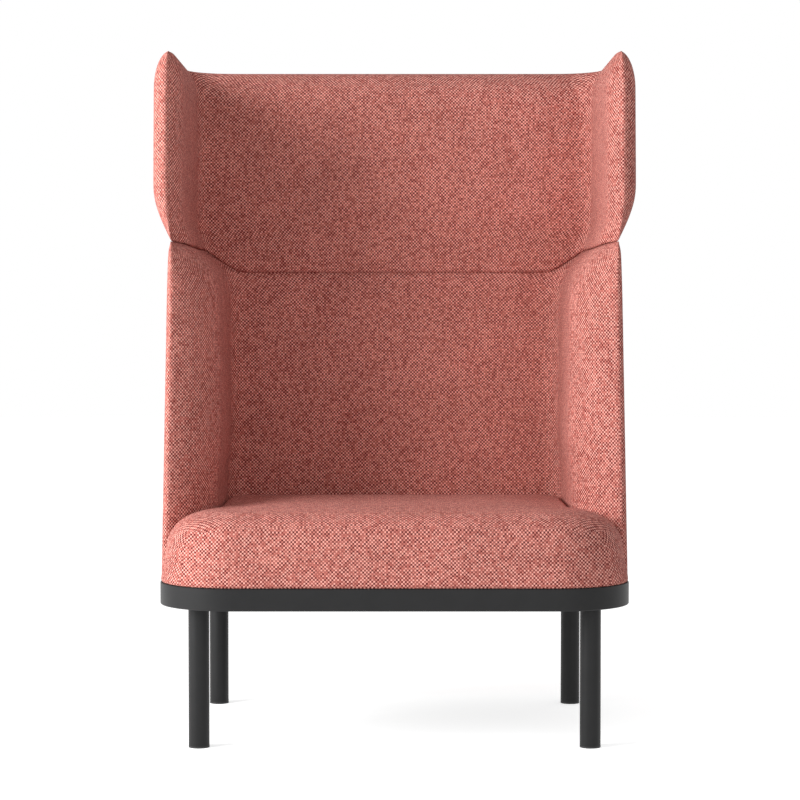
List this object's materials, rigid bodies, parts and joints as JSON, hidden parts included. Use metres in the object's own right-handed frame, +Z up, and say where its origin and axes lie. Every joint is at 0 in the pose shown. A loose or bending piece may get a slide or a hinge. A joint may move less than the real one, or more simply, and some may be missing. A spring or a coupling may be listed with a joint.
{
  "type": "high back lounge chair",
  "caption": "Upholstered acoustic lounge chair with a U-shaped shell, a padded hood above it, a rolled seat cushion and a black steel band base on tubular legs",
  "frame": {"origin": "on the floor, under the centre of the bounding box", "axes": "+X to the right seen from the front, +Y to the back (the chair faces -Y), +Z up"},
  "size_m": [0.9036, 0.6844, 1.2762],
  "materials": {
    "frame_black": "satin black powder coat",
    "glide_nylon": "moulded black nylon",
    "zinc_steel": "zinc plated steel",
    "plywood": "raw birch plywood",
    "foam": "cut polyurethane foam",
    "coral_fabric": "two-tone coral wool twill over foam",
    "dust_cloth": "black non-woven"
  },
  "bodies": {
    "root": {"base_band": "frame_black", "corner_plate_front_left": "frame_black", "corner_plate_rear_left": "frame_black", "corner_plate_front_right": "frame_black", "corner_plate_rear_right": "frame_black", "cross_rail_front": "frame_black", "cross_rail_rear": "frame_black", "leg_front_left": "frame_black", "leg_rear_left": "frame_black", "leg_front_right": "frame_black", "leg_rear_right": "frame_black", "glide_front_left": "glide_nylon", "glide_rear_left": "glide_nylon", "glide_front_right": "glide_nylon", "glide_rear_right": "glide_nylon", "leg_bolts": "zinc_steel", "leg_washers": "zinc_steel", "deck_bolts": "zinc_steel", "deck_inserts": "zinc_steel", "shell_screws": "zinc_steel", "joining_straps": "zinc_steel", "strap_screws": "zinc_steel", "seat_deck": "plywood", "lower_board": "plywood", "hood_board": "plywood", "seat_foam_firm": "foam", "seat_foam_soft": "foam", "seat_cover": "coral_fabric", "lower_inner_pad": "coral_fabric", "lower_outer_pad": "coral_fabric", "hood_inner_pad": "coral_fabric", "hood_outer_pad": "coral_fabric", "dust_cover": "dust_cloth"}
  },
  "joints": []
}
